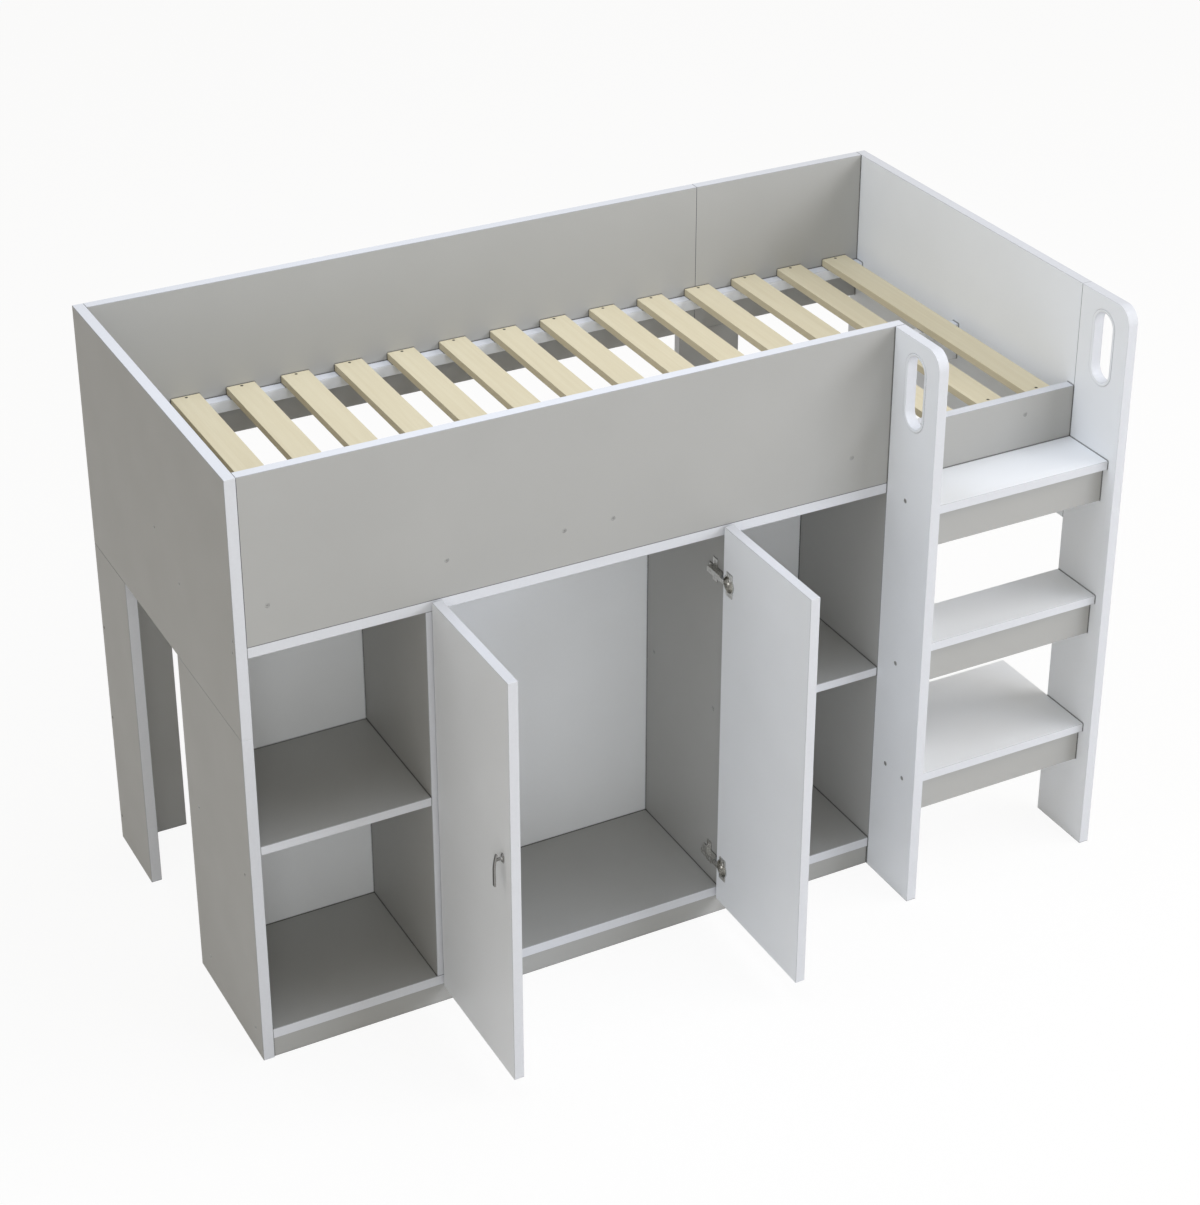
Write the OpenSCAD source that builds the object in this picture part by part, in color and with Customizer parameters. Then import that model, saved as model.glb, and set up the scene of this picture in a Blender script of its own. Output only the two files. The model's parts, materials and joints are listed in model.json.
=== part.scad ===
// Loft bed: end panels, guards, slatted base, a cabinet with two hinged doors
// underneath, and a fixed three-tread ladder at the right-hand end.
// Lengths are millimetres. Pieces are laid out from the bed's front left floor
// corner: x to the right, y to the back, z up. The origin is then moved to the
// centre of the footprint, which takes in the ladder and the open doors.

/* [Frame] */
// Length of the bed over both end panels
bed_l = 1800; // [1600:10:2100]
// Depth of the bed from guard to guard, outside
bed_d = 817; // [780:1:1000]
// Height of the end panels, guards and ladder sides
bed_h = 1230; // [1160:5:1400]
// Height of the cabinet top, where the guards start
deck_z = 897; // [860:1:960]
// Height of the seam between an end panel and what carries it
seam_z = 711; // [600:1:780]
// Thickness of the frame boards
board_t = 22; // [18:0.5:28]
// Width of the side board of a rear leg
leg_side_w = 186; // [120:1:260]
// Width of the back board of the left rear leg
leg_back_w = 113; // [70:1:180]
// Width of the middle rear leg
mid_leg_w = 149; // [80:1:220]
// How far the middle rear leg reaches left of the joint in the back guard
mid_leg_lap = 37; // [20:1:60]
// Height of the low rail across the ladder
entry_rail_h = 112; // [90:1:150]
// Chamfer along the edges of the boards
edge_c = 0.8; // [0.3:0.1:1.5]

/* [Slatted base] */
// Height of the slats' top faces above the cabinet top
base_rise = 103; // [98:1:130]
// Number of slats
slat_count = 15; // [10:1:18]
// Width of a slat
slat_w = 60; // [50:1:70]
// Thickness of a slat
slat_t = 16; // [12:0.5:20]
// Gap between the left end panel and the first slat
slat_gap_left = 35.5; // [10:0.5:60]
// Gap between the last slat and the right end panel
slat_gap_right = 31; // [10:0.5:60]
// Side of the square ledgers behind the guards
ledger_s = 25; // [20:0.5:32]
// Height of the middle rail under the slats
rail_h = 80; // [50:1:82]

/* [Cabinet] */
// Depth of the cabinet
cab_d = 332; // [280:1:360]
// Clear width of each open bay
bay_w = 338; // [250:1:360]
// Thickness of the open bays' shelves
shelf_t = 19; // [15:0.5:24]
// Height of the shelves' top faces
shelf_z = 479; // [300:1:600]
// Height of the plinth
plinth_h = 44; // [30:1:80]
// How far the plinth stands back from the cabinet front
plinth_set = 3; // [1:0.5:30]
// Thickness of the cabinet back
back_t = 16; // [6:0.5:20]
// How far the cabinet back lies in front of the side boards' rear edges
back_set = 12; // [0:0.5:25]

/* [Ladder] */
// Clear width between the ladder sides
ladder_w = 414; // [360:1:460]
// How far the ladder sides stand in front of the bed
ladder_proj = 149; // [130:1:200]
// Radius of the ladder sides' top front corners
ladder_r = 36; // [10:1:60]
// Width of the hand slots
slot_w = 56; // [40:1:80]
// Height of the hand slots
slot_h = 148; // [100:1:180]
// Distance from the ladder sides' tops to the hand slots
slot_drop = 34.5; // [20:0.5:60]
// Thickness of the treads
tread_t = 19; // [16:0.5:25]
// Height from tread to tread
tread_rise = 305.5; // [260:0.5:320]
// How far the treads stand back from the ladder sides' front edges
tread_set = 23.5; // [5:0.5:40]
// How far the lowest tread reaches behind the bed's front
low_tread_back = 158; // [60:1:250]
// Height of the riser boards under the treads
riser_h = 76; // [50:1:120]
// Thickness of the riser boards
riser_t = 19; // [15:0.5:22]
// How far the risers stand back from the treads' front edges
riser_set = 14; // [5:0.5:25]

/* [Doors] */
// Thickness of the doors
door_t = 20; // [18:0.5:24]
// How far each closed door laps over its divider
door_lap = 9.5; // [5:0.5:14]
// Gap between the closed doors
door_gap = 3; // [2:0.5:6]
// Gap between the closed doors and the cabinet front
door_stand = 2.5; // [2:0.1:3]
// How far the doors reach below the cabinet's bottom board
door_drop = 1; // [0:0.5:10]
// How far the doors stand open in the stored position, in degrees
door_open = 90; // [60:1:95]
// Height of the pull's foot above the floor
pull_z = 519; // [400:1:700]
// Distance from the door's free edge to the middle of the pull
pull_in = 32; // [20:1:60]
// Length of the pull's blade
pull_l = 66; // [50:1:110]
// Width of the pull's blade
pull_w = 9; // [7:0.5:14]
// Thickness of the pull's blade
pull_t = 4; // [3:0.5:5]
// Distance from the door to the middle of the blade at its lower end
pull_stand = 17.5; // [15:0.5:30]

/* [Hinges] */
// Distance from the door's edge to the hinge pin
pin_in = 6.8; // [6.6:0.1:6.9]
// Distance from the cabinet front to the hinge pin
pin_out = 13.4; // [13.3:0.1:13.8]
// Radius of the hinge pin
pin_r = 1.2; // [0.9:0.1:1.3]
// Radial running clearance between hinge pin and arm
pin_gap = 0.05; // [0.02:0.01:0.1]
// Radius of the hinge cup
cup_r = 17.5; // [17:0.1:18]
// Height of the hinge centres above the doors' lower edges
hinge_low = 85; // [60:1:150]
// Distance of the hinge centres below the doors' upper edges
hinge_high = 115; // [60:1:150]
// Length of the mounting plates on the dividers
plate_l = 50; // [40:1:65]
// Height of the cup flanges and of the mounting plates' wings
flange_h = 50; // [48:1:60]

/* [Fasteners] */
// Radius of a panel bolt's head
bolt_head_r = 4.5; // [3.5:0.1:6]
// Radius of a panel bolt's shank
bolt_r = 2.5; // [2:0.1:3]
// Length of a panel bolt
bolt_l = 45; // [38:1:60]
// Length of the screws in the rear legs
leg_screw_l = 35; // [30:1:45]
// Radius of a slat screw's head
screw_head_r = 3.2; // [2.5:0.1:3.5]
// Radius of a slat screw's shank
screw_r = 1.6; // [1:0.1:1.8]
// Length of a slat screw
screw_l = 25; // [22:0.5:25]
// Radial clearance of the bolts and screws in their holes
bolt_gap = 0.2; // [0.1:0.05:0.4]

/* [Hidden] */
$fn = 48;
slat_names = [for (i = [1:slat_count]) str("slat_", i < 10 ? "0" : "", i)];

// Colours
panel_grey = [0.69, 0.69, 0.68];
board_white = [0.88, 0.89, 0.9];
pine = [0.86, 0.78, 0.6];
steel = [0.62, 0.63, 0.64];
pull_grey = [0.42, 0.42, 0.41];

// Frame
cut = 1;                       // how far a cutting shape reaches past a face
inner_x0 = board_t;
inner_x1 = bed_l - board_t;
inner_y1 = bed_d - board_t;
near_x = inner_x1 - ladder_w - board_t;
near_x1 = near_x + board_t;

// Slatted base
slat_top = deck_z + base_rise;
slat_z = slat_top - slat_t;
slat_run = inner_x1 - inner_x0 - slat_gap_left - slat_gap_right - slat_w;
slat_pitch = slat_run / (slat_count - 1);
rail_y = (bed_d - board_t) / 2;

// Cabinet
cab_z0 = plinth_h;
cab_z1 = plinth_h + board_t;
cab_z2 = deck_z - board_t;
back_y = cab_d - back_set - back_t;
left_div_x = inner_x0 + bay_w;
right_div_x = near_x - bay_w - board_t;
cab_mid = (inner_x0 + near_x) / 2;

// Ladder
tread_y = tread_set - ladder_proj;
riser_y = tread_y + riser_set;
slot_z = bed_h - slot_drop - slot_h;
tread_zs = [for (i = [0:2]) deck_z - i * tread_rise];
tread_backs = [board_t, 0, low_tread_back];

// Doors, in their own frame: the hinge pin stands at x = 0, y = 0, the closed
// door runs from there to +x and its inner face looks to +y
door_w = (right_div_x - left_div_x - board_t + 2 * door_lap - door_gap) / 2;
door_z0 = cab_z0 - door_drop;
door_x0 = -pin_in;
door_x1 = door_w - pin_in;
door_in_y = pin_out - door_stand;
door_out_y = door_in_y - door_t;
pin_x = left_div_x + board_t - door_lap + pin_in;
hinge_zs = [door_z0 + hinge_low, deck_z - hinge_high];
open_front = -pin_out - door_x1 * sin(door_open)
    + min(door_out_y * cos(door_open), door_in_y * cos(door_open));

// Pulls, in the doors' frame
pull_x = door_x1 - pull_in;
pull_head = 12;                    // blade above the foot's middle
pull_top = pull_z + pull_head;
pull_low = pull_top - pull_l;
pull_mid = pull_low + pull_l / 2;  // the blade is straight below and bowed above
pull_bow = 110;                    // radius of the blade's bowed half
pull_y = door_out_y - pull_stand;
foot_h = 18;
foot_t = 2.5;
neck_r = 3.5;
neck_l = pull_stand - pull_bow + sqrt(pow(pull_bow, 2) - pow(max(0, pull_z - pull_mid), 2));

// Hinges, in the doors' frame
cup_in = 3;                        // wood left between the door's edge and the cup
cup_x = cup_in + cup_r - pin_in;
cup_wall = 0.6;
cup_gap = 0.1;                     // clearance of the cup in the door
cup_floor = 0.8;
eye_wall = 0.9;
eye_play = 0.2;                    // clearance between the arm's eye and the cup's floor
eye_r = pin_r + eye_wall;
cup_floor_y = -eye_r - eye_play;   // inner face of the cup's floor
cup_low_y = cup_floor_y - cup_floor;
flange_t = 1.2;
flange_lip = 0.5;
flange_c = 0.4;
flange_in = 8.5;                   // from the cup's middle to the flange's edge near the pin
flange_x = cup_x - flange_in;
flange_w = 22;
lug_wall = 1.6;
lug_x = pin_r + lug_wall;
lug_z0 = 5.2;                      // the lugs start this far above and below the arm's middle
lug_z1 = 9.5;
pin_sunk = 0.5;                    // how far the pin's ends stand back in the lugs
pin_l = 2 * (lug_z1 - pin_sunk);
arm_w = 9;
arm_t = 2;
arm_x = 13;                        // distance from the pin to the arm's upright
arm_foot = 12;                     // length of the arm behind the plates' screws
channel_w = 12;
channel_t = 1.2;
channel_in = 1;                    // from the cabinet front to the channel
channel_y = pin_out + channel_in;
div_x = door_lap - pin_in;         // the divider's face in the bay
plate_c = 0.3;
plate_t = 3;
plate_w = 14;
plate_in = 8;                      // from the cabinet front to the plate
plate_y = pin_out + plate_in;
wing_in = 37;                      // from the cabinet front to the middle of the plate's wings
wing_y = pin_out + wing_in;
wing_w = 16;
wing_t = 1.5;

// Fasteners: kind 0 is a panel bolt, kind 1 a wood screw
head_t = 2;
head_sunk = 0.3;
socket_d = 1.2;
socket_rs = [2, 1.5];
head_rs = [bolt_head_r, screw_head_r];
shank_rs = [bolt_r, screw_r];
blank_l = 12;                      // bolts that only close a spare hole
front_in = 34;                     // from the cabinet front to its front row of bolts
rear_in = 58;                      // from the cabinet's rear edge to its rear row
top_front_in = 15;                 // the same for the bolts in the cabinet top's left end
top_rear_in = 46;
guard_rise = 14;                   // from the deck to the bolts in the front guard's ends
spare_drop = 74;                   // from the shelf's top to the spare holes below it
tread_in = 61.5;                   // from the top tread's front edge to its bolt
low_tread_ins = [18.5, 78.5];      // the same for the lowest tread's two bolts
tread_spare = [63.5, 69.5];        // spare hole: behind the middle tread's edge, below its top
end_wood = 5;                      // ledger left past a bolt's end, and in front of a slat screw
slat_end_in = 7;                   // from the back guard to the rear slat screws
guard_shares = [0.031, 0.285, 0.46, 0.535, 0.92];
entry_share = 0.72;
leg_screw_zs = [59, 304, 519];

// Origin: the middle of the footprint
origin_x = bed_l / 2;
origin_y = (bed_d + min(open_front, -ladder_proj)) / 2;

// A fastener is [kind, head's middle, direction, length]
cab_ys = [front_in, cab_d - rear_in];
shelf_mid = shelf_z - shelf_t / 2;
ledger_mid = slat_z - ledger_s / 2;
end_bolts = [
    for (s = [0, 1]) [0, [s * bed_l, rail_y + board_t / 2, slat_z - rail_h / 2], [1 - 2 * s, 0, 0], bolt_l],
    for (s = [0, 1]) [0, [s * bed_l, board_t / 2, deck_z + guard_rise], [1 - 2 * s, 0, 0], bolt_l],
    for (y = [top_front_in, cab_d - top_rear_in]) [0, [0, y, deck_z - board_t / 2], [1, 0, 0], bolt_l]
];
cabinet_bolts = [
    for (y = cab_ys) [0, [0, y, cab_z0 + board_t / 2], [1, 0, 0], bolt_l],
    for (y = cab_ys) [0, [0, y, shelf_z - spare_drop], [1, 0, 0], blank_l],
    for (y = cab_ys) [0, [left_div_x + board_t, y, shelf_mid], [-1, 0, 0], bolt_l],
    for (y = cab_ys) [0, [right_div_x, y, shelf_mid], [1, 0, 0], bolt_l],
    for (y = cab_ys, z = [cab_z0 + board_t / 2, shelf_mid, deck_z - board_t / 2])
        [0, [near_x1, y, z], [-1, 0, 0], bolt_l]
];
ladder_bolts = [
    for (s = [0, 1], b = [
        [tread_y + tread_in, tread_zs[0] - tread_t / 2, bolt_l],
        [tread_y + tread_spare[0], tread_zs[1] - tread_spare[1], blank_l],
        [tread_y + low_tread_ins[0], tread_zs[2] - tread_t / 2, bolt_l],
        [tread_y + low_tread_ins[1], tread_zs[2] - tread_t / 2, bolt_l]
    ]) [0, [s == 0 ? near_x : bed_l, b[0], b[1]], [1 - 2 * s, 0, 0], b[2]]
];
ledger_xs = concat(
    [for (f = guard_shares) inner_x0 + f * (near_x1 - inner_x0)],
    [near_x1 + entry_share * (inner_x1 - near_x1)]
);
ledger_bolts = [
    for (x = ledger_xs, s = [0, 1])
        [0, [x, s * bed_d, ledger_mid], [0, 1 - 2 * s, 0], board_t + ledger_s - end_wood]
];
leg_screws = [
    for (z = leg_screw_zs) [1, [0, inner_y1 + board_t / 2, z], [1, 0, 0], leg_screw_l]
];
slat_screws = [
    for (i = [0:slat_count - 1], y = [board_t + ledger_s - end_wood, inner_y1 - slat_end_in])
        [1, [slat_x(i) + slat_w / 2, y, slat_top], [0, 0, -1], screw_l]
];
fasteners = concat(end_bolts, cabinet_bolts, ladder_bolts, ledger_bolts, leg_screws, slat_screws);

function slat_x(i) = inner_x0 + slat_gap_left + i * slat_pitch;

// True where a fastener's middle line runs through the box from lo to hi
function meets(f, lo, hi) =
    let (p = f[1], q = f[1] + f[2] * f[3])
    min([for (i = [0:2]) min(hi[i] - min(p[i], q[i]), max(p[i], q[i]) - lo[i])]) > 0;

function aim(d) = d.x != 0 ? [0, 90 * d.x, 0] : d.y != 0 ? [-90 * d.y, 0, 0] : [180, 0, 0];

// General shapes

module at_origin() {
    translate([-origin_x, -origin_y, 0]) children();
}

module octagon(w, h, c) {
    polygon([[c, 0], [w - c, 0], [w, c], [w, h - c], [w - c, h], [c, h], [0, h - c], [0, c]]);
}

// Box from lo to hi with chamfered edges
module block(lo, hi, c = edge_c) {
    s = hi - lo;
    translate(lo) intersection() {
        linear_extrude(s.z) octagon(s.x, s.y, c);
        translate([0, s.y, 0]) rotate([90, 0, 0]) linear_extrude(s.y) octagon(s.x, s.z, c);
        rotate([90, 0, 90]) linear_extrude(s.x) octagon(s.y, s.z, c);
    }
}

module fastener(f) {
    translate(f[1]) rotate(aim(f[2])) translate([0, 0, head_sunk]) difference() {
        union() {
            cylinder(r = head_rs[f[0]], h = head_t);
            translate([0, 0, head_t]) cylinder(r = shank_rs[f[0]], h = f[3] - head_t - head_sunk);
        }
        translate([0, 0, -cut]) cylinder(r = socket_rs[f[0]], h = socket_d + cut, $fn = 6);
    }
}

module fastener_hole(f) {
    translate(f[1]) rotate(aim(f[2])) {
        translate([0, 0, -cut]) cylinder(r = head_rs[f[0]] + bolt_gap, h = cut + head_sunk + head_t);
        cylinder(r = shank_rs[f[0]] + bolt_gap, h = f[3] + bolt_gap);
    }
}

// Board from lo to hi, with the holes of every fastener that meets it
module board(lo, hi) {
    difference() {
        block(lo, hi);
        for (f = fasteners) if (meets(f, lo, hi)) fastener_hole(f);
    }
}

module grey_board(lo, hi) {
    color(panel_grey) at_origin() board(lo, hi);
}

module white_board(lo, hi) {
    color(board_white) at_origin() board(lo, hi);
}

// End panels and legs

module end_panel(x, tint) {
    color(tint) at_origin() board([x, 0, seam_z], [x + board_t, bed_d, bed_h]);
}

module left_cabinet_side() {
    grey_board([0, 0, 0], [board_t, cab_d, seam_z]);
}

module leg_side(x, tint) {
    color(tint) at_origin() board([x, bed_d - leg_side_w, 0], [x + board_t, bed_d, seam_z]);
}

module rear_board(x0, x1) {
    grey_board([x0, inner_y1, 0], [x1, bed_d, deck_z]);
}

// Guards

module guard(x0, x1, y, h) {
    grey_board([x0, y, deck_z], [x1, y + board_t, deck_z + h]);
}

// Cabinet

module cabinet_level(z) {
    grey_board([inner_x0, 0, z], [near_x, cab_d, z + board_t]);
}

module right_cabinet_side() {
    grey_board([near_x, 0, 0], [near_x1, cab_d, deck_z]);
}

module cabinet_back() {
    white_board([inner_x0, back_y, cab_z1], [near_x, back_y + back_t, cab_z2]);
}

module plinth() {
    grey_board([inner_x0, plinth_set, 0], [near_x, plinth_set + board_t, cab_z0]);
}

module divider(x) {
    grey_board([x, 0, cab_z1], [x + board_t, back_y, cab_z2]);
}

module shelf(x) {
    grey_board([x, 0, shelf_z - shelf_t], [x + bay_w, back_y, shelf_z]);
}

// Ladder

module hand_slot(x) {
    r = slot_w / 2;
    y = -ladder_proj / 2;
    translate([x - cut, y, slot_z]) {
        for (z = [r, slot_h - r]) translate([0, 0, z]) rotate([0, 90, 0])
            cylinder(r = r, h = board_t + 2 * cut);
        translate([0, -r, r]) cube([board_t + 2 * cut, slot_w, slot_h - slot_w]);
    }
}

module ladder_side(x) {
    color(board_white) at_origin() difference() {
        board([x, -ladder_proj, 0], [x + board_t, 0, bed_h]);
        translate([x - cut, -ladder_proj, bed_h]) difference() {
            translate([0, -cut, -ladder_r]) cube([board_t + 2 * cut, ladder_r + cut, ladder_r + cut]);
            translate([-cut, ladder_r, -ladder_r]) rotate([0, 90, 0])
                cylinder(r = ladder_r, h = board_t + 4 * cut);
        }
        hand_slot(x);
    }
}

module tread(i) {
    white_board([near_x1, tread_y, tread_zs[i] - tread_t], [inner_x1, tread_backs[i], tread_zs[i]]);
}

module riser(i) {
    z1 = tread_zs[i] - tread_t;
    grey_board([near_x1, riser_y, z1 - riser_h], [inner_x1, riser_y + riser_t, z1]);
}

// Slatted base

module ledger(y) {
    white_board([inner_x0, y, slat_z - ledger_s], [inner_x1, y + ledger_s, slat_z]);
}

module middle_rail() {
    white_board([inner_x0, rail_y, slat_z - rail_h], [inner_x1, rail_y + board_t, slat_z]);
}

module slat(i) {
    color(pine) at_origin() board([slat_x(i), board_t, slat_z], [slat_x(i) + slat_w, inner_y1, slat_top]);
}

// Doors and hinges. The left door is drawn, the right one is its mirror image.

module hand(side) {
    if (side == "left") children();
    else translate([2 * cab_mid, 0, 0]) mirror([1, 0, 0]) children();
}

module on_cabinet(side) {
    at_origin() hand(side) translate([pin_x, -pin_out, 0]) children();
}

module on_door(side) {
    on_cabinet(side) rotate([0, 0, -door_open]) children();
}

// Cylinder along y, from y0 to y1
module rod(r, x, y0, y1, z) {
    translate([x, y1, z]) rotate([90, 0, 0]) cylinder(r = r, h = y1 - y0);
}

module door(side) {
    color(board_white) on_door(side) difference() {
        block([door_x0, door_out_y, door_z0], [door_x1, door_in_y, deck_z]);
        for (z = hinge_zs) rod(cup_r + cup_gap, cup_x, cup_low_y - cup_gap, door_in_y + cut, z);
    }
}

module hinge_cup(z) {
    difference() {
        union() {
            rod(cup_r, cup_x, cup_low_y, door_in_y + flange_t, z);
            rod(cup_r + flange_lip, cup_x, door_in_y, door_in_y + flange_t, z);
            block([flange_x, door_in_y, z - flange_h / 2],
                [flange_x + flange_w, door_in_y + flange_t, z + flange_h / 2], flange_c);
        }
        rod(cup_r - cup_wall, cup_x, cup_floor_y, door_in_y + flange_t + cut, z);
    }
    difference() {
        intersection() {
            rod(cup_r - cup_wall / 2, cup_x, cup_low_y, door_in_y, z);
            for (s = [-1, 1]) translate([-lug_x, cup_low_y, z + (s > 0 ? lug_z0 : -lug_z1)])
                cube([2 * lug_x, lug_x - cup_low_y, lug_z1 - lug_z0]);
        }
        translate([0, 0, z - lug_z1 - cut]) cylinder(r = pin_r, h = 2 * (lug_z1 + cut));
    }
}

module hinge_cups(side) {
    color(steel) on_door(side) for (z = hinge_zs) hinge_cup(z);
}

module hinge_pins(side) {
    color(steel) on_door(side) for (z = hinge_zs) translate([0, 0, z - pin_l / 2])
        cylinder(r = pin_r, h = pin_l);
}

// Arm: an eye round the pin, a web, an upright out of the cup and a channel in the bay
module hinge_arm(z) {
    arm_x1 = arm_x + arm_t;
    difference() {
        translate([0, 0, z - arm_w / 2]) union() {
            cylinder(r = eye_r, h = arm_w);
            translate([0, -arm_t / 2, 0]) cube([arm_x1, arm_t, arm_w]);
            translate([arm_x, -arm_t / 2, 0]) cube([arm_t, channel_y + arm_t, arm_w]);
        }
        translate([0, 0, z - arm_w]) cylinder(r = pin_r + pin_gap, h = 2 * arm_w);
    }
    difference() {
        translate([div_x + plate_t, channel_y, z - channel_w / 2])
            cube([arm_x1 - div_x - plate_t, wing_y + arm_foot - channel_y, channel_w]);
        translate([div_x, channel_y + arm_t, z - channel_w / 2 + channel_t])
            cube([arm_x - div_x, wing_y + arm_foot - channel_y, channel_w - 2 * channel_t]);
    }
}

module hinge_arms() {
    color(steel) for (side = ["left", "right"]) on_cabinet(side) for (z = hinge_zs) hinge_arm(z);
}

module hinge_plate(z) {
    block([div_x, plate_y, z - plate_w / 2],
        [div_x + plate_t, plate_y + plate_l, z + plate_w / 2], plate_c);
    block([div_x, wing_y - wing_w / 2, z - flange_h / 2],
        [div_x + wing_t, wing_y + wing_w / 2, z + flange_h / 2], plate_c);
}

module hinge_plates() {
    color(steel) for (side = ["left", "right"]) on_cabinet(side) for (z = hinge_zs) hinge_plate(z);
}

// Blade of the pull, seen along the door's width: y across, z up
module blade_outline() {
    translate([pull_y - pull_t / 2, pull_low]) square([pull_t, pull_l / 2]);
    translate([pull_y, pull_low]) circle(r = pull_t / 2);
    intersection() {
        translate([pull_y - pull_t, pull_mid]) square([pull_stand, pull_l / 2]);
        translate([pull_y + pull_bow, pull_mid]) difference() {
            circle(r = pull_bow + pull_t / 2, $fn = 96);
            circle(r = pull_bow - pull_t / 2, $fn = 96);
        }
    }
}

module pull(side) {
    r = pull_w / 2;
    color(pull_grey) on_door(side) translate([pull_x, 0, 0]) {
        translate([-r, 0, 0]) rotate([90, 0, 90]) linear_extrude(pull_w) blade_outline();
        rod(neck_r, 0, door_out_y - neck_l, door_out_y, pull_z);
        for (z = [-1, 1]) rod(r, 0, door_out_y - foot_t, door_out_y, pull_z + z * (foot_h / 2 - r));
        translate([-r, door_out_y - foot_t, pull_z - foot_h / 2 + r]) cube([pull_w, foot_t, foot_h - pull_w]);
    }
}

// Fasteners

module fastener_group(kind) {
    color(steel) at_origin() for (f = fasteners) if (f[0] == kind) fastener(f);
}

// Everything, one node at a time

end_panel(0, panel_grey);  // left_end_panel
left_cabinet_side();
leg_side(0, panel_grey);  // rear_left_leg_side
rear_board(inner_x0, inner_x0 + leg_back_w);  // rear_left_leg_back
end_panel(inner_x1, board_white);  // right_end_panel
leg_side(inner_x1, board_white);  // rear_right_leg_side
rear_board(near_x1 - mid_leg_lap, near_x1 - mid_leg_lap + mid_leg_w);  // middle_rear_leg
guard(inner_x0, near_x1, inner_y1, bed_h - deck_z);  // back_guard_long
guard(near_x1, inner_x1, inner_y1, bed_h - deck_z);  // back_guard_short
guard(inner_x0, near_x1, 0, bed_h - deck_z);  // front_guard
guard(near_x1, inner_x1, 0, entry_rail_h);  // entry_rail
right_cabinet_side();
cabinet_level(cab_z2);  // cabinet_top
cabinet_level(cab_z0);  // cabinet_bottom
cabinet_back();
plinth();
divider(left_div_x);  // left_divider
divider(right_div_x);  // right_divider
shelf(inner_x0);  // left_shelf
shelf(right_div_x + board_t);  // right_shelf
ladder_side(near_x);  // ladder_side_near
ladder_side(inner_x1);  // ladder_side_far
tread(0);  // tread_top
tread(1);  // tread_middle
tread(2);  // tread_low
riser(0);  // riser_top
riser(1);  // riser_middle
riser(2);  // riser_low
ledger(board_t);  // front_ledger
ledger(inner_y1 - ledger_s);  // rear_ledger
middle_rail();
door("left");  // left_door
door("right");  // right_door
pull("left");  // left_pull
pull("right");  // right_pull
hinge_cups("left");  // left_hinge_cups
hinge_cups("right");  // right_hinge_cups
hinge_pins("left");  // left_hinge_pins
hinge_pins("right");  // right_hinge_pins
hinge_arms();
hinge_plates();
fastener_group(0);  // panel_bolts
fastener_group(1);  // wood_screws
for (i = [0:slat_count - 1]) slat(i);
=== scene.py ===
# Looks of the loft bed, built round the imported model. Lengths are metres.
import json
import math

import bmesh
import bpy
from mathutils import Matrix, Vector


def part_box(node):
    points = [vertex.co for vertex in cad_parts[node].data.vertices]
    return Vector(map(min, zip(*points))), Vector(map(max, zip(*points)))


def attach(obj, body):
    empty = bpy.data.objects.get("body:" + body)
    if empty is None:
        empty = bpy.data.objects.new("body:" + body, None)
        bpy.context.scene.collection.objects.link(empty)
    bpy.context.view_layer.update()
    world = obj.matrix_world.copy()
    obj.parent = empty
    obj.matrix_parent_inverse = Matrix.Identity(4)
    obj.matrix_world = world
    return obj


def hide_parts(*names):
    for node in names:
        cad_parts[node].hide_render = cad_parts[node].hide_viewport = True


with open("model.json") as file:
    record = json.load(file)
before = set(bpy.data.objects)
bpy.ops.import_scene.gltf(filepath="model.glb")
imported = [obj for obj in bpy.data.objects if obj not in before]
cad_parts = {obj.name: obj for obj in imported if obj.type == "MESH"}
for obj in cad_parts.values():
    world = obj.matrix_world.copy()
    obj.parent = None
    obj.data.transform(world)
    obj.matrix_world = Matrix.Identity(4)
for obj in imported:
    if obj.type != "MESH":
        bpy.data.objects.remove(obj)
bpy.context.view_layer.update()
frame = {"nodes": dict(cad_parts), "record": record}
nodes = frame["nodes"]
slot_of = {s["node"]: s["material_slot"] for s in frame["record"]["subparts"]}

MM = 0.001
BENCH = Vector((900.0, 251.2, 0.0))      # the model's middle on the bench, mm
MIRROR = 1364.0                          # bench x of a left-hand point plus its right-hand twin

# Pulls, mm
PULL_STAND = 17.5             # door to the middle of the blade's lower half
PULL_BOW = 110.0              # radius of its bowed upper half
PULL_FOOT_Z = 519.0
FOOT_TALL = 18.0
FOOT_THICK = 2.5
BLADE_THICK = 4.0
BLADE_TIP = 3.0               # length over which each end of the blade is rounded
TIP_LEAST = 0.06              # share of the section that is left at the very end
BLADE_TAPER = 0.18            # share of the section that is lost towards the top
BLADE_SQUARE = 0.75           # 1 gives an oval section, less a squarer one
BLADE_STEPS = 40
RING_POINTS = 28              # points round the blade and round the neck
NECK_PROFILE = ((1.5, 4.4), (2.6, 4.2), (3.4, 3.7), (4.6, 3.35),
                (7.0, 3.15), (11.0, 3.1), (13.4, 3.3), (14.4, 3.5))      # from the door, radius
FOOT_POINTS = 32
FOOT_PROFILE = ((0.0, 0.0), (1.4, 0.0), (1.9, 0.15), (2.25, 0.5),
                (2.45, 1.0), (FOOT_THICK, 1.6))                          # from the door, inset

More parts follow.
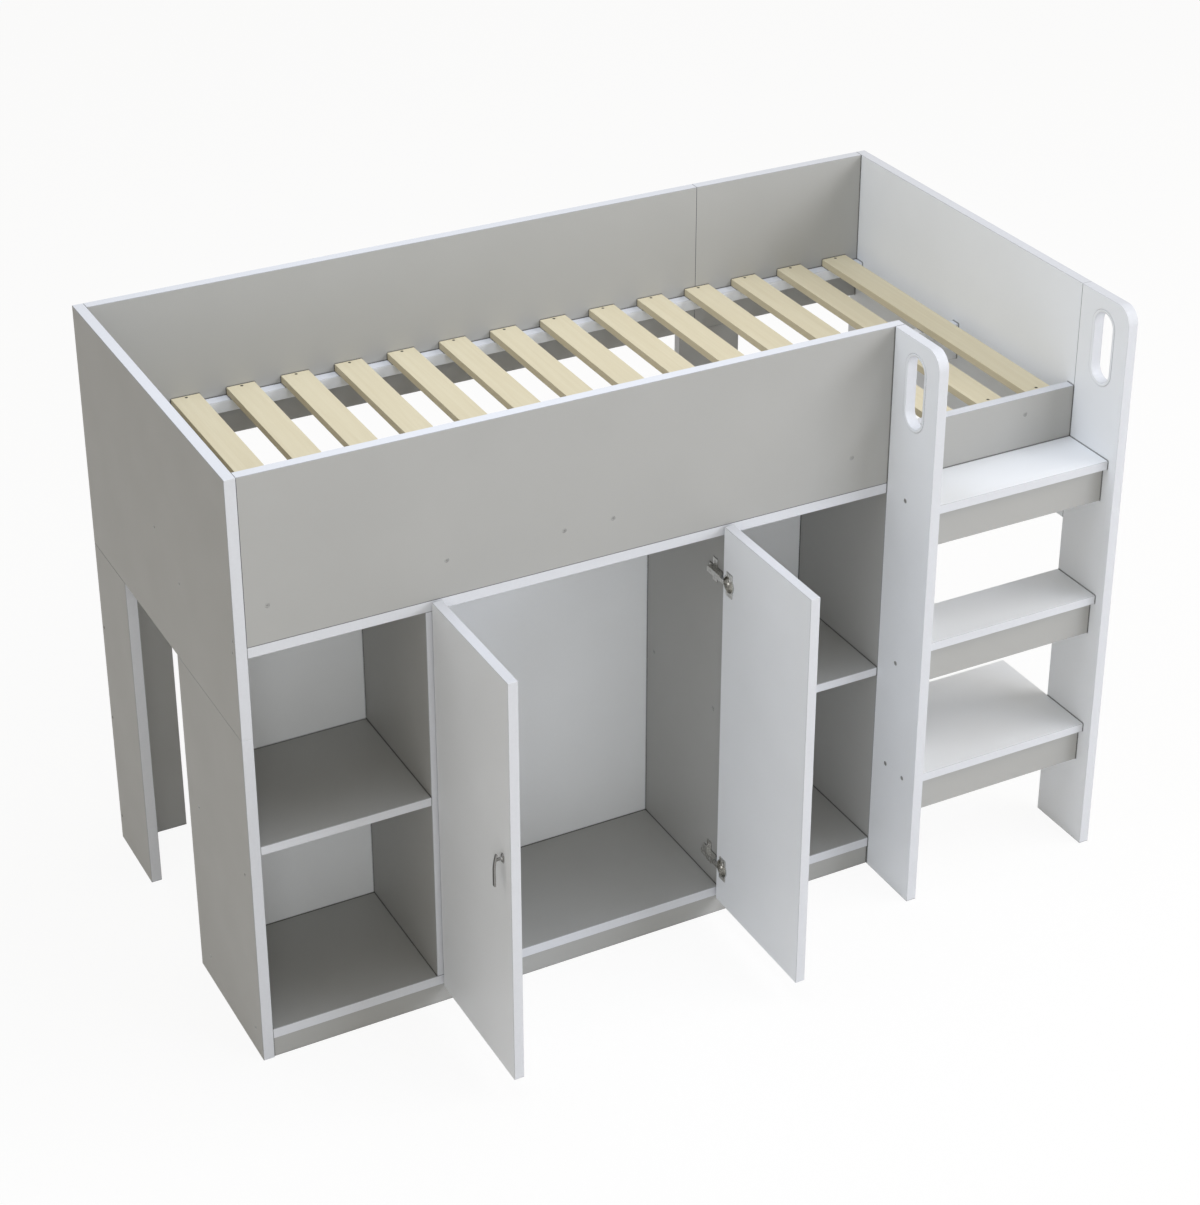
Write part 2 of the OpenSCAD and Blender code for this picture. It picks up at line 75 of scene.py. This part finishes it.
# Hinge screws, mm on the bench, for the left door
HINGE_ZS = (128.0, 782.0)
FLANGE_FACE_X = 391.4
FLANGE_Y = -29.6
FLANGE_SCREW_RISE = 21.2
WING_FACE_X = 383.5
WING_Y = 37.0
WING_SCREW_RISE = 17.5
ARM_FACE_X = 394.3
ARM_SCREW_YS = (14.0, 36.0)
SCREW_R = 3.1                 # on flanges and wings
ARM_SCREW_R = 2.7
FLANGE_DOME = 0.7             # heights of the heads
WING_DOME = 0.8
ARM_DOME = 0.5
DOME_FALL = 0.8               # share of a head's height that is lost at its rim
HEAD_SKIRT = 0.3              # the rim reaches this far down
HEAD_CELLS = 9                # grid cells from a head's middle to its rim
RECESS_DEPTH = 0.9
RECESS_LONG = 0.58            # reach of the cross's arms, as a share of the radius
RECESS_HALF = 0.15            # half their width, likewise
SCREW_TURNS = (0.3, 1.0, 0.6, 0.1, 0.9, 0.45, 0.2, 0.75, 0.5, 0.05, 0.35, 0.8)

# Rims of the ladder's hand slots, mm on the bench
SLOT_R = 28.0
SLOT_ZS = (1075.5, 1167.5)    # middles of the slots' rounded ends
SLOT_Y = -74.5
RIM_FACES = (("near_front", 1342.0, -1), ("near_back", 1364.0, 1), ("far_front", 1778.0, -1))
RIM_PROFILE = ((0.4, -0.05), (0.5, 0.1), (1.4, 0.34), (2.4, 0.6), (3.4, 0.82), (4.4, 0.97),
               (5.1, 1.0), (5.6, 0.85), (5.8, 0.5), (5.8, -0.05))    # reach from the slot, height
RIM_POINTS = 96

# Edges sharper than these stay sharp, degrees
PULL_SHARP = 40
SCREW_SHARP = 35
RIM_SHARP = 50

# Camera: the photograph's eye point and lens. Its image is 1200 x 1205 pixels.
IMAGE_H = 1205
FOCAL_PX = 2676
LENS_DROP_PX = 182.5          # the lens axis meets the image this far above its middle
EYE = Vector((-2.1903, -4.0535, 3.3124))
AZIMUTH = 27.783              # degrees to the right of +Y
ELEVATION = 26.404            # degrees down
SENSOR = 36.0
FAR_CLIP = 100.0

# Light
AMBIENT = 0.40
AMBIENT_TINT = (1.080, 1.012, 0.890)
LIGHTS = (
    # name, place, target, size, power, tint
    ("key", (5.6, -3.14, 5.3), (0.0, 0.1, 0.6), 3.5, 198.0, (1.02, 1.0, 0.99)),
    ("front_right", (4.36, -6.13, 3.07), (0.0, 0.1, 0.6), 3.5, 168.0, (0.92, 0.97, 1.08)),
    ("front_left", (-2.6, -7.05, 3.07), (0.0, 0.1, 0.6), 3.5, 88.0, (0.99, 1.01, 1.01)),
    ("inside", (-0.40, -0.05, 2.9), (0.1, 0.4, 1.0), 1.5, 24.0, (0.90, 0.98, 1.12)),
)
FLOOR_SIZE = 14.0
FLOOR_PALE = 0.90
FLOOR_GLOW = 0.91             # share of the floor that the camera sees as plain white

# Colours, in linear light
GREY = (0.410, 0.410, 0.399)
WHITE = (0.828, 0.848, 0.876)
EDGE_WHITE = (0.655, 0.670, 0.706)
PINE = (0.718, 0.652, 0.474)
PINE_DARK = (0.580, 0.494, 0.316)
BOARD_SHEEN = 0.12            # the boards' melamine is nearly matte
GLUE_DARK = 0.55              # tone of the glue line against the edge bands, on grey boards
GLUE_PALE = 0.80              # and on white ones
SLOTTED_BOARDS = ("ladder_side_near", "ladder_side_far")  # no glue line on their slots' rims
FLUSH_BOARDS = ("left_end_panel", "left_cabinet_side", "middle_rear_leg")  # faint seams, without the painted crease shade
# Painted shade: these darken the inner corners where two boards meet
CREASE_SHADE_REACH = 0.0032         # metres from an inner corner where its painted shadow line ends
CREASE_SHADE_DEPTH = 2.0
CREASE_SHADE_SAMPLES = 6
CREASE_SHADE_DARK = (0.02, 0.02, 0.018)
FACE_FROM = 0.9               # a normal's share along the thickness that makes it a face
BEVEL_FROM = 0.3              # and one that makes it the bevel, where the glue line shows
NICKEL = (0.66, 0.65, 0.62)
PULL_NICKEL = (0.27, 0.265, 0.255)
ZINC = (0.52, 0.51, 0.50)
BOLT_PALE = (0.375, 0.375, 0.365)
DARK_ZINC = (0.16, 0.15, 0.13)


def new_material(name):
    """An empty node material with its Principled shader."""
    mat = bpy.data.materials.new(name)
    mat.use_nodes = True
    tree = mat.node_tree
    tree.nodes.clear()
    out = tree.nodes.new("ShaderNodeOutputMaterial")
    shader = tree.nodes.new("ShaderNodeBsdfPrincipled")
    tree.links.new(shader.outputs[0], out.inputs[0])
    return mat, tree, shader


def add(tree, kind, **values):
    """A node with its settings and input values."""
    node = tree.nodes.new(kind)
    for key, value in values.items():
        if key in node.inputs:
            node.inputs[key].default_value = value
        else:
            setattr(node, key, value)
    return node


def math_node(tree, operation, a, b=None):
    """A Math node; a and b are numbers or sockets."""
    node = add(tree, "ShaderNodeMath", operation=operation)
    for socket, value in zip(node.inputs, (a, b)):
        if isinstance(value, (int, float)):
            socket.default_value = value
        elif value is not None:
            tree.links.new(value, socket)
    return node.outputs[0]


def noise(tree, place, scale, detail=2.0, stretch=(1, 1, 1), distortion=0.0):
    """Noise in object space, with its coordinates multiplied by stretch."""
    links = tree.links
    mapping = add(tree, "ShaderNodeMapping")
    mapping.inputs["Scale"].default_value = stretch
    links.new(place, mapping.inputs["Vector"])
    node = add(tree, "ShaderNodeTexNoise", Scale=scale, Detail=detail, Distortion=distortion)
    links.new(mapping.outputs[0], node.inputs["Vector"])
    return node.outputs["Fac"]


def ramp(tree, fac, low, high, colour_low, colour_high):
    """Colour that goes from colour_low to colour_high as fac goes from low to high."""
    node = add(tree, "ShaderNodeValToRGB")
    stops = node.color_ramp.elements
    stops[0].position = low
    stops[1].position = high
    stops[0].color = (*colour_low, 1)
    stops[1].color = (*colour_high, 1)
    tree.links.new(fac, node.inputs[0])
    return node.outputs["Color"]


def mix(tree, fac, a, b):
    """Mix of two colours, each a tuple or a socket."""
    node = add(tree, "ShaderNodeMix", data_type="RGBA")
    for index, value in ((6, a), (7, b)):
        if isinstance(value, tuple):
            node.inputs[index].default_value = (*value, 1)
        else:
            tree.links.new(value, node.inputs[index])
    if isinstance(fac, (int, float)):
        node.inputs[0].default_value = fac
    else:
        tree.links.new(fac, node.inputs[0])
    return node.outputs[2]


def scaled(colour, factor):
    """The colour made lighter or darker."""
    return tuple(c * factor for c in colour)


def set_bump(tree, shader, height, strength, distance):
    """Bumps the shader's surface by a height socket; distance is in metres."""
    bump = add(tree, "ShaderNodeBump", Strength=strength, Distance=distance)
    tree.links.new(height, bump.inputs["Height"])
    tree.links.new(bump.outputs[0], shader.inputs["Normal"])


def vary_roughness(tree, shader, fac, low, high):
    """Roughness that goes from low to high with fac."""
    node = add(tree, "ShaderNodeMapRange")
    node.inputs["To Min"].default_value = low
    node.inputs["To Max"].default_value = high
    tree.links.new(fac, node.inputs["Value"])
    tree.links.new(node.outputs[0], shader.inputs["Roughness"])


def add_crease_shade(tree, colour):
    """The colour with painted shade: a thin dark line, from ambient occlusion, in the inner corners
    where two boards meet.
    """
    near = add(tree, "ShaderNodeAmbientOcclusion", samples=CREASE_SHADE_SAMPLES, Distance=CREASE_SHADE_REACH)
    unshaded = math_node(tree, "POWER", near.outputs["AO"], CREASE_SHADE_DEPTH)
    return mix(tree, unshaded, CREASE_SHADE_DARK, colour)


def board_material(name, face, axis, shade_creases, glue):
    """Faced board: face colour on its two sides, white banding on its edges, and a
    fine glue line where they meet. axis is the board's thickness direction.
    shade_creases adds painted shade: dark lines in the inner corners where boards meet.
    glue is the glue line's tone against the banding."""
    mat, tree, shader = new_material(name)
    coords = add(tree, "ShaderNodeTexCoord")
    place = coords.outputs["Object"]
    split = add(tree, "ShaderNodeSeparateXYZ")
    tree.links.new(coords.outputs["Normal"], split.inputs[0])
    across = math_node(tree, "ABSOLUTE", split.outputs[axis])
    on_face = math_node(tree, "GREATER_THAN", across, FACE_FROM)
    on_bevel = math_node(tree, "GREATER_THAN", across, BEVEL_FROM)
    cloud = noise(tree, place, scale=5.0)
    mottle = noise(tree, place, scale=160.0, detail=3.0)
    face_tone = ramp(tree, cloud, 0.3, 0.7, scaled(face, 0.985), scaled(face, 1.015))
    face_tone = mix(tree, math_node(tree, "MULTIPLY", mottle, 0.05), face_tone, scaled(face, 0.86))
    edge_tone = ramp(tree, mottle, 0.3, 0.7, scaled(EDGE_WHITE, 0.985), scaled(EDGE_WHITE, 1.01))
    glue_tone = scaled(EDGE_WHITE, glue)
    colour = mix(tree, on_bevel, edge_tone, glue_tone)
    colour = mix(tree, on_face, colour, face_tone)
    # Painted shade: an ambient occlusion node darkens the inner corners where boards meet
    if shade_creases:
        colour = add_crease_shade(tree, colour)
    tree.links.new(colour, shader.inputs["Base Color"])
    smudge = noise(tree, place, scale=9.0, detail=4.0, distortion=0.4)
    vary_roughness(tree, shader, smudge, low=0.34, high=0.48)
    shader.inputs["Specular IOR Level"].default_value = BOARD_SHEEN
    pebble = noise(tree, place, scale=900.0)
    set_bump(tree, shader, pebble, strength=0.12, distance=0.0002)
    return mat


def pine_material():
    """Planed pine, its grain along Y, with darker end grain on its ends, and painted shade on its long
    sides.
    """
    mat, tree, shader = new_material("slat_pine")
    coords = add(tree, "ShaderNodeTexCoord")
    place = coords.outputs["Object"]
    wander = noise(tree, place, scale=14.0, stretch=(1.0, 0.10, 1.0))
    bands = noise(tree, place, scale=110.0, detail=3.0, stretch=(1.0, 0.03, 1.0), distortion=0.6)
    fibre = noise(tree, place, scale=1500.0, stretch=(1.0, 0.020, 1.0))
    speckle = noise(tree, place, scale=420.0, detail=3.0, stretch=(1.0, 0.30, 1.0))
    tone = ramp(tree, bands, 0.34, 0.74, PINE, PINE_DARK)
    tone = mix(tree, 0.62, tone, PINE)
    tone = mix(tree, math_node(tree, "MULTIPLY", wander, 0.14), tone, scaled(PINE, 0.90))
    tone = mix(tree, math_node(tree, "MULTIPLY", fibre, 0.10), tone, PINE_DARK)
    tone = mix(tree, math_node(tree, "MULTIPLY", speckle, 0.16), tone, scaled(PINE, 0.80))
    split = add(tree, "ShaderNodeSeparateXYZ")
    tree.links.new(coords.outputs["Normal"], split.inputs[0])
    # Painted shade: the long sides are darker than the top and bottom faces
    on_top = math_node(tree, "GREATER_THAN", math_node(tree, "ABSOLUTE", split.outputs[2]), 0.7)
    side_shade_tone = mix(tree, 0.45, tone, PINE_DARK)
    tone = mix(tree, on_top, side_shade_tone, tone)
    at_end = math_node(tree, "GREATER_THAN", math_node(tree, "ABSOLUTE", split.outputs[1]), 0.9)
    tone = mix(tree, at_end, tone, scaled(PINE_DARK, 0.85))
    tree.links.new(tone, shader.inputs["Base Color"])
    vary_roughness(tree, shader, fibre, low=0.52, high=0.70)
    set_bump(tree, shader, fibre, strength=0.25, distance=0.0003)
    return mat


def metal_material(name, colour, rough, stretch=(1, 1, 1), metallic=1.0):
    """Plated metal with fine polishing marks; stretch draws them out into lines."""
    mat, tree, shader = new_material(name)
    place = add(tree, "ShaderNodeTexCoord").outputs["Object"]
    lines = noise(tree, place, scale=2600.0, stretch=stretch)
    stain = noise(tree, place, scale=180.0, detail=3.0)
    tone = ramp(tree, stain, 0.3, 0.75, scaled(colour, 0.88), scaled(colour, 1.06))
    tree.links.new(tone, shader.inputs["Base Color"])
    shader.inputs["Metallic"].default_value = metallic
    vary_roughness(tree, shader, lines, low=rough - 0.06, high=rough + 0.08)
    set_bump(tree, shader, lines, strength=0.10, distance=0.0001)
    return mat


def floor_material():
    """Plain white floor that keeps a soft shadow."""
    mat, tree, shader = new_material("stage_floor")
    shader.inputs["Roughness"].default_value = 1.0
    shader.inputs["Specular IOR Level"].default_value = 0.0
    glow = add(tree, "ShaderNodeEmission", Strength=1.0)
    seen = seen_directly(tree)
    pale = (FLOOR_PALE, FLOOR_PALE, FLOOR_PALE)
    tree.links.new(mix(tree, seen, pale, (1.0, 1.0, 1.0)), shader.inputs["Base Color"])
    share = math_node(tree, "MULTIPLY", seen, FLOOR_GLOW)
    blend = add(tree, "ShaderNodeMixShader")
    tree.links.new(share, blend.inputs[0])
    tree.links.new(shader.outputs[0], blend.inputs[1])
    tree.links.new(glow.outputs[0], blend.inputs[2])
    out = next(n for n in tree.nodes if n.type == "OUTPUT_MATERIAL")
    tree.links.new(blend.outputs[0], out.inputs[0])
    return mat


def seen_directly(tree):
    """1 for what the camera, a reflection or a transmission sees, otherwise 0."""
    path = add(tree, "ShaderNodeLightPath")
    seen = math_node(tree, "MAXIMUM", path.outputs["Is Camera Ray"], path.outputs["Is Glossy Ray"])
    return math_node(tree, "MAXIMUM", seen, path.outputs["Is Transmission Ray"])


def make_world():
    """White as seen, a softer warm white as light."""
    world = bpy.data.worlds.new("studio")
    bpy.context.scene.world = world
    world.use_nodes = True
    tree = world.node_tree
    tree.nodes.clear()
    out = tree.nodes.new("ShaderNodeOutputWorld")
    light = add(tree, "ShaderNodeBackground", Color=(*AMBIENT_TINT, 1), Strength=AMBIENT)
    white = add(tree, "ShaderNodeBackground", Color=(1, 1, 1, 1), Strength=1.0)
    blend = add(tree, "ShaderNodeMixShader")
    tree.links.new(seen_directly(tree), blend.inputs[0])
    tree.links.new(light.outputs[0], blend.inputs[1])
    tree.links.new(white.outputs[0], blend.inputs[2])
    tree.links.new(blend.outputs[0], out.inputs[0])


def set_view():
    """Colours show as they are written."""
    bpy.context.scene.view_settings.view_transform = "Standard"


def make_camera():
    """The camera at the photograph's eye point, looking the photograph's way."""
    data = bpy.data.cameras.new("camera")
    data.sensor_width = SENSOR
    data.lens = FOCAL_PX / IMAGE_H * SENSOR
    data.shift_y = -LENS_DROP_PX / IMAGE_H
    data.clip_end = FAR_CLIP
    cam = bpy.data.objects.new("camera", data)
    bpy.context.scene.collection.objects.link(cam)
    a = math.radians(AZIMUTH)
    e = math.radians(ELEVATION)
    ahead = Vector((math.sin(a) * math.cos(e), math.cos(a) * math.cos(e), -math.sin(e)))
    cam.location = EYE
    cam.rotation_mode = "QUATERNION"
    cam.rotation_quaternion = ahead.to_track_quat("-Z", "Y")
    bpy.context.scene.camera = cam


def make_lights():
    """The soft square lamps of LIGHTS."""
    for name, place, target, size, power, tint in LIGHTS:
        data = bpy.data.lights.new(name, "AREA")
        data.energy = power
        data.size = size
        data.color = tint
        lamp = bpy.data.objects.new(name, data)
        bpy.context.scene.collection.objects.link(lamp)
        lamp.location = place
        lamp.rotation_mode = "QUATERNION"
        lamp.rotation_quaternion = (Vector(target) - Vector(place)).to_track_quat("-Z", "Y")


def make_floor():
    """One flat sheet under the model, kept out of the part."""
    bm = bmesh.new()
    bmesh.ops.create_grid(bm, x_segments=1, y_segments=1, size=FLOOR_SIZE / 2)
    mesh = bpy.data.meshes.new("floor")
    bm.to_mesh(mesh)
    bm.free()
    floor = bpy.data.objects.new("floor", mesh)
    bpy.context.scene.collection.objects.link(floor)
    floor.data.materials.append(floor_material())


def piece_from(bm, name, material, body):
    """An object from a bmesh, riding on a body and material."""
    bmesh.ops.recalc_face_normals(bm, faces=bm.faces)
    mesh = bpy.data.meshes.new(name)
    bm.to_mesh(mesh)
    bm.free()
    piece = bpy.data.objects.new(name, mesh)
    bpy.context.scene.collection.objects.link(piece)
    mesh.materials.append(material)
    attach(piece, body)
    return piece


def bench(x, y, z):
    """A bench point in mm as a point of the row frame in metres."""
    return (Vector((x, y, z)) - BENCH) * MM


def loft(bm, rings):
    """Skins rings that all have as many points as the first, and closes both ends."""
    rows = [[bm.verts.new(p) for p in ring] for ring in rings]
    count = len(rows[0])
    for lower, upper in zip(rows, rows[1:]):
        for i in range(count):
            j = (i + 1) % count
            bm.faces.new((lower[i], lower[j], upper[j], upper[i]))
    bm.faces.new(rows[0])
    bm.faces.new(rows[-1])


def squared(share):
    """A sine or cosine pushed outwards, for a section with fuller corners."""
    return math.copysign(abs(share) ** BLADE_SQUARE, share)


def blade_rings(low_z, top_z, width, thick):
    """Rings of the pull's blade as (distance from the door, y, z) in mm."""
    rings = []
    mid_z = (low_z + top_z) / 2
    for i in range(BLADE_STEPS + 1):
        s = 0.5 - 0.5 * math.cos(math.pi * i / BLADE_STEPS)
        z = low_z + (top_z - low_z) * s
        rise = max(0.0, z - mid_z)
        d = PULL_STAND - PULL_BOW + math.sqrt(PULL_BOW ** 2 - rise ** 2)
        lean = math.asin(rise / PULL_BOW)
        end = min(z - low_z, top_z - z)
        fill = 1.0 if end > BLADE_TIP else math.sqrt(max(0.0, 1 - (1 - end / BLADE_TIP) ** 2))
        fill = max(fill, TIP_LEAST)
        taper = 1.0 - BLADE_TAPER * s ** 2
        ring = []
        for k in range(RING_POINTS):
            a = 2 * math.pi * k / RING_POINTS
            across = squared(math.cos(a)) * width / 2 * taper * fill
            out = squared(math.sin(a)) * thick / 2 * taper * fill
            ring.append((d + out * math.cos(lean), across, z + out * math.sin(lean)))
        rings.append(ring)
    return rings


def neck_rings():
    """Rings of the turned neck between the foot and the blade."""
    angles = [2 * math.pi * k / RING_POINTS for k in range(RING_POINTS)]
    rings = []
    for d, r in NECK_PROFILE:
        rings.append([(d, r * math.cos(a), PULL_FOOT_Z + r * math.sin(a)) for a in angles])
    return rings


def foot_rings(width):
    """Rings of the oval foot plate, its rim rounded over."""
    rings = []
    r = width / 2
    straight = FOOT_TALL / 2 - r
    for d, inset in FOOT_PROFILE:
        ring = []
        for k in range(FOOT_POINTS):
            a = 2 * math.pi * (k + 0.5) / FOOT_POINTS
            end = math.copysign(straight, math.sin(a))
            ring.append((d, (r - inset) * math.cos(a), PULL_FOOT_Z + end + (r - inset) * math.sin(a)))
        rings.append(ring)
    return rings


def make_pull(side, material):
    """A smooth cast pull in place of the CAD one: oval foot, turned neck, bowed blade."""
    node = side + "_pull"
    low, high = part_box(node)
    face_x, outward = (high.x, -1) if side == "left" else (low.x, 1)
    middle_y = (low.y + high.y) / 2
    bm = bmesh.new()
    width = (high.y - low.y) / MM
    blade = blade_rings(low.z / MM, high.z / MM, width, BLADE_THICK)
    for rings in (blade, neck_rings(), foot_rings(width)):
        placed = []
        for ring in rings:
            placed.append([(face_x + outward * d * MM, middle_y + y * MM, z * MM) for d, y, z in ring])
        loft(bm, placed)
    piece = piece_from(bm, side + "_pull_cast", material, side + "_door")
    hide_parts(node)
    smooth(piece, PULL_SHARP)


def smooth(piece, degrees):
    """Smooth shading, apart from edges sharper than the given angle."""
    limit = math.radians(degrees)
    mesh = piece.data
    bm = bmesh.new()
    bm.from_mesh(mesh)
    for face in bm.faces:
        face.smooth = True
    for edge in bm.edges:
        if len(edge.link_faces) == 2 and edge.calc_face_angle(0.0) > limit:
            edge.smooth = False
    bm.to_mesh(mesh)
    bm.free()


def screw_head(bm, place, normal_x, radius, dome, turn):
    """Round head with a cross recess, on a face that looks along normal_x. mm on the bench."""
    half = HEAD_CELLS
    grid = []
    for i in range(-half, half + 1):
        row = []
        for j in range(-half, half + 1):
            u, v = i / half, j / half
            p = u * math.sqrt(1 - v * v / 2)
            q = v * math.sqrt(1 - u * u / 2)
            far = max(abs(p), abs(q))
            near = min(abs(p), abs(q))
            sunk = 1.0 if far < RECESS_LONG and near < RECESS_HALF else 0.0
            height = dome * (1 - DOME_FALL * (p * p + q * q)) - sunk * RECESS_DEPTH
            py = p * math.cos(turn) - q * math.sin(turn)
            pz = p * math.sin(turn) + q * math.cos(turn)
            spot = bench(place[0] + normal_x * height, place[1] + py * radius, place[2] + pz * radius)
            row.append(bm.verts.new(spot))
        grid.append(row)
    for i in range(2 * half):
        for j in range(2 * half):
            bm.faces.new((grid[i][j], grid[i + 1][j], grid[i + 1][j + 1], grid[i][j + 1]))
    rim = [grid[i][0] for i in range(2 * half)]
    rim += [grid[2 * half][j] for j in range(2 * half)]
    rim += [grid[i][2 * half] for i in range(2 * half, 0, -1)]
    rim += [grid[0][j] for j in range(2 * half, 0, -1)]
    skirt = [bm.verts.new(v.co - Vector((normal_x * HEAD_SKIRT * MM, 0, 0))) for v in rim]
    for k in range(len(rim)):
        m = (k + 1) % len(rim)
        bm.faces.new((rim[k], rim[m], skirt[m], skirt[k]))


def make_hinge_screws(materials):
    """The cross-head screws of the hinges: two in each flange, two in each wing, two in each arm."""
    steel = materials["screw_steel"]
    for side, sign in (("left", 1), ("right", -1)):
        groups = {"flange": bmesh.new(), "arm": bmesh.new()}
        turns = iter(SCREW_TURNS)
        place = (lambda x: x) if side == "left" else (lambda x: MIRROR - x)
        for z in HINGE_ZS:
            for rise in (-1, 1):
                spot = (place(FLANGE_FACE_X), FLANGE_Y, z + rise * FLANGE_SCREW_RISE)
                screw_head(groups["flange"], spot, sign, SCREW_R, FLANGE_DOME, next(turns))
                spot = (place(WING_FACE_X), WING_Y, z + rise * WING_SCREW_RISE)
                screw_head(groups["arm"], spot, sign, SCREW_R, WING_DOME, next(turns))
            for y in ARM_SCREW_YS:
                spot = (place(ARM_FACE_X), y, z)
                screw_head(groups["arm"], spot, sign, ARM_SCREW_R, ARM_DOME, next(turns))
        door = side + "_door"
        flange = piece_from(groups["flange"], side + "_hinge_screws", steel, door)
        arm = piece_from(groups["arm"], side + "_plate_screws", steel, "root")
        smooth(flange, SCREW_SHARP)
        smooth(arm, SCREW_SHARP)


def make_slot_rims(material):
    """A low soft rim round each hand slot, on each face of it inside the model's box."""
    for name, face_x, outward in RIM_FACES:
        bm = bmesh.new()
        loops = []
        for reach, height in RIM_PROFILE:
            r = SLOT_R + reach
            loop = []
            for k in range(RIM_POINTS):
                a = 2 * math.pi * (k + 0.5) / RIM_POINTS
                z = SLOT_ZS[1 if math.sin(a) > 0 else 0] + r * math.sin(a)
                spot = bench(face_x + outward * height, SLOT_Y + r * math.cos(a), z)
                loop.append(bm.verts.new(spot))
            loops.append(loop)
        for inner, outer in zip(loops, loops[1:] + loops[:1]):
            for i in range(RIM_POINTS):
                j = (i + 1) % RIM_POINTS
                bm.faces.new((inner[i], inner[j], outer[j], outer[i]))
        rim = piece_from(bm, name + "_slot_rim", material, "root")
        smooth(rim, RIM_SHARP)


def dress_nodes(materials):
    """Gives every CAD node its material, by its slot and, for boards, its thickness axis."""
    boards = {}
    for name, node in nodes.items():
        slot = slot_of[name]
        if slot in ("grey_board", "white_board"):
            low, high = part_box(name)
            size = high - low
            axis = min(range(3), key=lambda i: size[i])
            # Boards not listed as flush get painted shade in their inner corners
            shade_creases = name not in FLUSH_BOARDS
            slotted = name in SLOTTED_BOARDS
            key = (slot, axis, shade_creases, slotted)
            if key not in boards:
                face = GREY if slot == "grey_board" else WHITE
                glue = GLUE_DARK if slot == "grey_board" else GLUE_PALE
                title = slot + "_" + "xyz"[axis]
                title += ("" if shade_creases else "_flush") + ("_slotted" if slotted else "")
                boards[key] = board_material(title, face, axis, shade_creases, 1.0 if slotted else glue)
            material = boards[key]
        elif name == "wood_screws":
            material = materials["dark_zinc"]
        else:
            material = materials[slot]
        node.data.materials.clear()
        node.data.materials.append(material)
        for polygon in node.data.polygons:
            polygon.material_index = 0


set_view()
make_camera()
make_world()
make_lights()
make_floor()
materials = {
    "slat_pine": pine_material(),
    "pull_metal": metal_material("pull_metal", PULL_NICKEL, rough=0.34, stretch=(1, 1, 0.02)),
    "hinge_steel": metal_material("hinge_steel", NICKEL, rough=0.26, stretch=(1, 1, 0.05)),
    "fastener_steel": metal_material("fastener_steel", BOLT_PALE, rough=0.45, metallic=0.35),
    "screw_steel": metal_material("screw_steel", ZINC, rough=0.30),
    "dark_zinc": metal_material("dark_zinc", DARK_ZINC, rough=0.50),
}
dress_nodes(materials)
for side in ("left", "right"):
    make_pull(side, materials["pull_metal"])
make_hinge_screws(materials)
make_slot_rims(board_material("slot_rim", WHITE, axis=0, shade_creases=False, glue=1.0))
